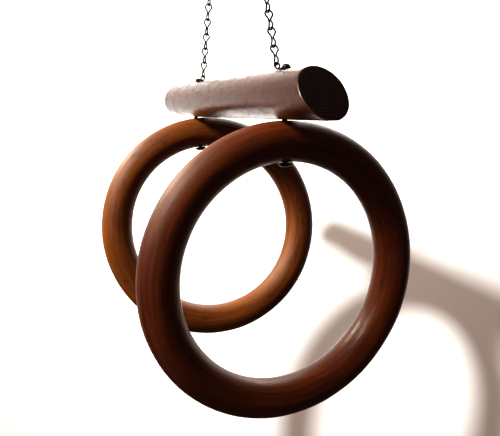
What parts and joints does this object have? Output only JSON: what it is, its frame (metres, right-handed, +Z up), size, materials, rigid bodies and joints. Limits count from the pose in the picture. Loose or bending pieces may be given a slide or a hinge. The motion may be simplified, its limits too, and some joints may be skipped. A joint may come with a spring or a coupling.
{
  "type": "hanging twin ring toy",
  "caption": "Hanging toy: a varnished wooden bar on two thin jack chains that meet at a ceiling hook, with two wooden rings screwed under the bar.",
  "frame": {"origin": "centre of the ceiling hook's collar, on the upper face that meets the ceiling", "axes": "+Z is up along the hook's threaded shank; +Y runs along the wooden bar from its steeply mitred end to its pared end; +X is to the right when looking along +Y"},
  "size_m": [0.242, 0.3467, 0.5703],
  "materials": {
    "ring_wood": "satin varnish over dark mahogany stain",
    "bar_wood": "glossy varnish over dark brown stain",
    "chain_steel": "dull blackened wire",
    "screw_steel": "dull blackened steel"
  },
  "bodies": {
    "hook": {"ceiling_hook": "screw_steel"},
    "hanging_ring": {"hanging_ring": "chain_steel"},
    "links_01": {"link_a_01": "chain_steel", "link_b_01": "chain_steel"},
    "links_02": {"link_a_02": "chain_steel", "link_b_02": "chain_steel"},
    "links_03": {"link_a_03": "chain_steel", "link_b_03": "chain_steel"},
    "links_04": {"link_a_04": "chain_steel", "link_b_04": "chain_steel"},
    "links_05": {"link_a_05": "chain_steel", "link_b_05": "chain_steel"},
    "links_06": {"link_a_06": "chain_steel", "link_b_06": "chain_steel"},
    "links_07": {"link_a_07": "chain_steel", "link_b_07": "chain_steel"},
    "links_08": {"link_a_08": "chain_steel", "link_b_08": "chain_steel"},
    "links_09": {"link_a_09": "chain_steel", "link_b_09": "chain_steel"},
    "links_10": {"link_a_10": "chain_steel", "link_b_10": "chain_steel"},
    "links_11": {"link_a_11": "chain_steel", "link_b_11": "chain_steel"},
    "links_12": {"link_a_12": "chain_steel", "link_b_12": "chain_steel"},
    "links_13": {"link_a_13": "chain_steel", "link_b_13": "chain_steel"},
    "links_14": {"link_a_14": "chain_steel", "link_b_14": "chain_steel"},
    "links_15": {"link_a_15": "chain_steel", "link_b_15": "chain_steel"},
    "links_16": {"link_a_16": "chain_steel", "link_b_16": "chain_steel"},
    "links_17": {"link_a_17": "chain_steel", "link_b_17": "chain_steel"},
    "links_18": {"link_a_18": "chain_steel", "link_b_18": "chain_steel"},
    "bar": {"bar": "bar_wood", "anchor_link_a": "chain_steel", "anchor_link_b": "chain_steel", "chain_screw_a": "screw_steel", "chain_screw_b": "screw_steel", "ring_screw_a": "screw_steel", "ring_screw_b": "screw_steel"},
    "wooden_ring_a": {"wooden_ring_a": "ring_wood"},
    "wooden_ring_b": {"wooden_ring_b": "ring_wood"}
  },
  "joints": [
    {"name": "hanging_ring_swing", "type": "hinge", "parent": "hook", "child": "hanging_ring", "pos_m": [0, 0, -0.021], "axis": [1, 0, 0], "range_deg": [-40, 40]},
    {"name": "links_01_swing", "type": "hinge", "parent": "hanging_ring", "child": "links_01", "pos_m": [0, 0, -0.03952], "axis": [0, 1, 0], "range_deg": [-35, 35]},
    {"name": "links_02_swing", "type": "hinge", "parent": "links_01", "child": "links_02", "pos_m": [0, 0, -0.05188], "axis": [0, 1, 0], "range_deg": [-3, 3]},
    {"name": "links_03_swing", "type": "hinge", "parent": "links_02", "child": "links_03", "pos_m": [0, 0, -0.065], "axis": [0, 1, 0], "range_deg": [-3, 3]},
    {"name": "links_04_swing", "type": "hinge", "parent": "links_03", "child": "links_04", "pos_m": [0, 0, -0.07811], "axis": [0, 1, 0], "range_deg": [-3, 3]},
    {"name": "links_05_swing", "type": "hinge", "parent": "links_04", "child": "links_05", "pos_m": [0, 0, -0.09123], "axis": [0, 1, 0], "range_deg": [-3, 3]},
    {"name": "links_06_swing", "type": "hinge", "parent": "links_05", "child": "links_06", "pos_m": [0, 0, -0.10435], "axis": [0, 1, 0], "range_deg": [-3, 3]},
    {"name": "links_07_swing", "type": "hinge", "parent": "links_06", "child": "links_07", "pos_m": [0, 0, -0.11747], "axis": [0, 1, 0], "range_deg": [-3, 3]},
    {"name": "links_08_swing", "type": "hinge", "parent": "links_07", "child": "links_08", "pos_m": [0, 0, -0.13059], "axis": [0, 1, 0], "range_deg": [-3, 3]},
    {"name": "links_09_swing", "type": "hinge", "parent": "links_08", "child": "links_09", "pos_m": [0, 0, -0.1437], "axis": [0, 1, 0], "range_deg": [-3, 3]},
    {"name": "links_10_swing", "type": "hinge", "parent": "links_09", "child": "links_10", "pos_m": [0, 0, -0.15682], "axis": [0, 1, 0], "range_deg": [-3, 3]},
    {"name": "links_11_swing", "type": "hinge", "parent": "links_10", "child": "links_11", "pos_m": [0, 0, -0.16994], "axis": [0, 1, 0], "range_deg": [-3, 3]},
    {"name": "links_12_swing", "type": "hinge", "parent": "links_11", "child": "links_12", "pos_m": [0, 0, -0.18305], "axis": [0, 1, 0], "range_deg": [-3, 3]},
    {"name": "links_13_swing", "type": "hinge", "parent": "links_12", "child": "links_13", "pos_m": [0, 0, -0.19617], "axis": [0, 1, 0], "range_deg": [-3, 3]},
    {"name": "links_14_swing", "type": "hinge", "parent": "links_13", "child": "links_14", "pos_m": [0, 0, -0.20929], "axis": [0, 1, 0], "range_deg": [-3, 3]},
    {"name": "links_15_swing", "type": "hinge", "parent": "links_14", "child": "links_15", "pos_m": [0, 0, -0.22241], "axis": [0, 1, 0], "range_deg": [-3, 3]},
    {"name": "links_16_swing", "type": "hinge", "parent": "links_15", "child": "links_16", "pos_m": [0, 0, -0.23553], "axis": [0, 1, 0], "range_deg": [-3, 3]},
    {"name": "links_17_swing", "type": "hinge", "parent": "links_16", "child": "links_17", "pos_m": [0, 0, -0.24864], "axis": [0, 1, 0], "range_deg": [-3, 3]},
    {"name": "links_18_swing", "type": "hinge", "parent": "links_17", "child": "links_18", "pos_m": [0, 0, -0.26176], "axis": [0, 1, 0], "range_deg": [-3, 3]},
    {"name": "bar_rock", "type": "hinge", "parent": "links_18", "child": "bar", "pos_m": [0, 0, -0.27488], "axis": [0, 1, 0], "range_deg": [-40, 40]},
    {"name": "ring_a_swivel", "type": "hinge", "parent": "bar", "child": "wooden_ring_a", "pos_m": [0, -0.0969, -0.31538], "axis": [-0.0003, 0.0192, 0.9998], "range_deg": [-45, 45]},
    {"name": "ring_b_swivel", "type": "hinge", "parent": "bar", "child": "wooden_ring_b", "pos_m": [-0.00114, 0.10826, -0.31615], "axis": [-0.0736, 0.1718, 0.9824], "range_deg": [-40, 45]}
  ]
}
